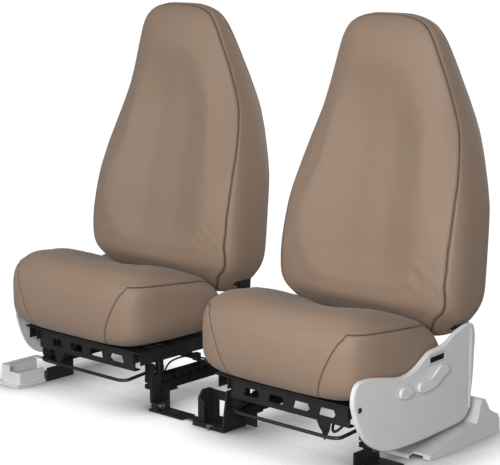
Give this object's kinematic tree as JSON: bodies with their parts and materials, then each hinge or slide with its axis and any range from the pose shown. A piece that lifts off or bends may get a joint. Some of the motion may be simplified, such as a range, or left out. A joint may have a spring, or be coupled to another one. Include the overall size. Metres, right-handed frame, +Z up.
{
  "type": "seat cover set",
  "caption": "Fitted seat cover set on high-back bucket seats with side shields, reclining backrests, lifting cushions and slide rails on floor feet.",
  "frame": {"origin": "on the floor, midway between the two seats and midway in depth", "axes": "+Z up; seats face -Y; +X to the driver seat, which is on the right when seen from the front"},
  "size_m": [1.3128, 0.6128, 1.044],
  "materials": {
    "cover_cloth": "matte, smooth laminated cloth",
    "foam": "moulded foam",
    "strap_webbing": "woven elastic",
    "black_steel": "satin black paint",
    "rail_steel": "black electrocoat",
    "bright_bolt": "zinc plated",
    "motor_black": "matte",
    "cable_black": "matte sheath",
    "grey_plastic": "fine grain, satin"
  },
  "bodies": {
    "floor_base": {"tie_strap": "black_steel", "driver_lower_rails": "rail_steel", "driver_front_foot_inner": "black_steel", "driver_front_foot_outer": "black_steel", "driver_rear_foot_inner": "black_steel", "driver_rear_foot_outer": "black_steel", "driver_rail_bolts": "bright_bolt", "driver_rail_cover": "grey_plastic", "passenger_lower_rails": "rail_steel", "passenger_front_foot_inner": "black_steel", "passenger_front_foot_outer": "black_steel", "passenger_rear_foot_inner": "black_steel", "passenger_rear_foot_outer": "black_steel", "passenger_rail_bolts": "bright_bolt", "passenger_foot_cover": "grey_plastic"},
    "driver_carriage": {"driver_upper_rails": "rail_steel", "driver_lift_posts": "black_steel", "driver_lift_motor": "motor_black", "driver_release_cable": "cable_black"},
    "driver_release_bar": {"driver_release_bar": "black_steel"},
    "driver_cushion": {"driver_cushion_pan": "black_steel", "driver_lift_sleeves": "black_steel", "driver_recliner_hinges": "black_steel", "driver_side_shield": "grey_plastic", "driver_harness": "cable_black", "driver_cushion_foam": "foam", "driver_cushion_top_cover": "cover_cloth", "driver_cushion_side_cover_inner": "cover_cloth", "driver_cushion_side_cover_outer": "cover_cloth", "driver_cover_straps": "strap_webbing"},
    "driver_seat_knob": {"driver_seat_knob": "grey_plastic"},
    "driver_recline_knob": {"driver_recline_knob": "grey_plastic"},
    "driver_backrest": {"driver_back_frame": "black_steel", "driver_back_foam": "foam", "driver_back_front_cover": "cover_cloth", "driver_back_side_band": "cover_cloth", "driver_back_rear_cover": "cover_cloth"},
    "passenger_carriage": {"passenger_upper_rails": "rail_steel", "passenger_lift_posts": "black_steel", "passenger_lift_motor": "motor_black", "passenger_release_cable": "cable_black"},
    "passenger_release_bar": {"passenger_release_bar": "black_steel"},
    "passenger_cushion": {"passenger_cushion_pan": "black_steel", "passenger_lift_sleeves": "black_steel", "passenger_recliner_hinges": "black_steel", "passenger_side_shield": "grey_plastic", "passenger_harness": "cable_black", "passenger_cushion_foam": "foam", "passenger_cushion_top_cover": "cover_cloth", "passenger_cushion_side_cover_inner": "cover_cloth", "passenger_cushion_side_cover_outer": "cover_cloth", "passenger_cover_straps": "strap_webbing"},
    "passenger_seat_knob": {"passenger_seat_knob": "grey_plastic"},
    "passenger_recline_knob": {"passenger_recline_knob": "grey_plastic"},
    "passenger_backrest": {"passenger_back_frame": "black_steel", "passenger_back_foam": "foam", "passenger_back_front_cover": "cover_cloth", "passenger_back_side_band": "cover_cloth", "passenger_back_rear_cover": "cover_cloth"}
  },
  "joints": [
    {"name": "driver_slide", "type": "slide", "parent": "floor_base", "child": "driver_carriage", "axis": [0, 1, 0], "range_m": [-0.18, 0]},
    {"name": "driver_lift", "type": "slide", "parent": "driver_carriage", "child": "driver_cushion", "axis": [0, 0, 1], "range_m": [0, 0.04]},
    {"name": "driver_release_bar_pull", "type": "hinge", "parent": "driver_carriage", "child": "driver_release_bar", "pos_m": [0.36, -0.108, 0.092], "axis": [-1, 0, 0], "range_deg": [0, 6], "stiffness_Nm_per_rad": 4, "springref_deg": -8.59},
    {"name": "driver_recline", "type": "hinge", "parent": "driver_cushion", "child": "driver_backrest", "pos_m": [0.36, 0.162, 0.268], "axis": [-1, 0, 0], "range_deg": [0, 40]},
    {"name": "driver_seat_knob_slide", "type": "slide", "parent": "driver_cushion", "child": "driver_seat_knob", "axis": [0, 1, 0], "range_m": [-0.004, 0.004], "stiffness_N_per_m": 400},
    {"name": "driver_recline_knob_turn", "type": "hinge", "parent": "driver_cushion", "child": "driver_recline_knob", "pos_m": [0.64, 0.005, 0.196], "axis": [-1, 0, 0], "range_deg": [-7, 7], "stiffness_Nm_per_rad": 0.5},
    {"name": "passenger_slide", "type": "slide", "parent": "floor_base", "child": "passenger_carriage", "axis": [0, 1, 0], "range_m": [-0.18, 0]},
    {"name": "passenger_lift", "type": "slide", "parent": "passenger_carriage", "child": "passenger_cushion", "axis": [0, 0, 1], "range_m": [0, 0.04]},
    {"name": "passenger_release_bar_pull", "type": "hinge", "parent": "passenger_carriage", "child": "passenger_release_bar", "pos_m": [-0.36, -0.108, 0.092], "axis": [-1, 0, 0], "range_deg": [0, 6], "stiffness_Nm_per_rad": 4, "springref_deg": -8.59},
    {"name": "passenger_recline", "type": "hinge", "parent": "passenger_cushion", "child": "passenger_backrest", "pos_m": [-0.36, 0.162, 0.268], "axis": [-1, 0, 0], "range_deg": [0, 40]},
    {"name": "passenger_seat_knob_slide", "type": "slide", "parent": "passenger_cushion", "child": "passenger_seat_knob", "axis": [0, 1, 0], "range_m": [-0.004, 0.004], "stiffness_N_per_m": 400},
    {"name": "passenger_recline_knob_turn", "type": "hinge", "parent": "passenger_cushion", "child": "passenger_recline_knob", "pos_m": [-0.64, 0.005, 0.196], "axis": [-1, 0, 0], "range_deg": [-7, 7], "stiffness_Nm_per_rad": 0.5}
  ]
}
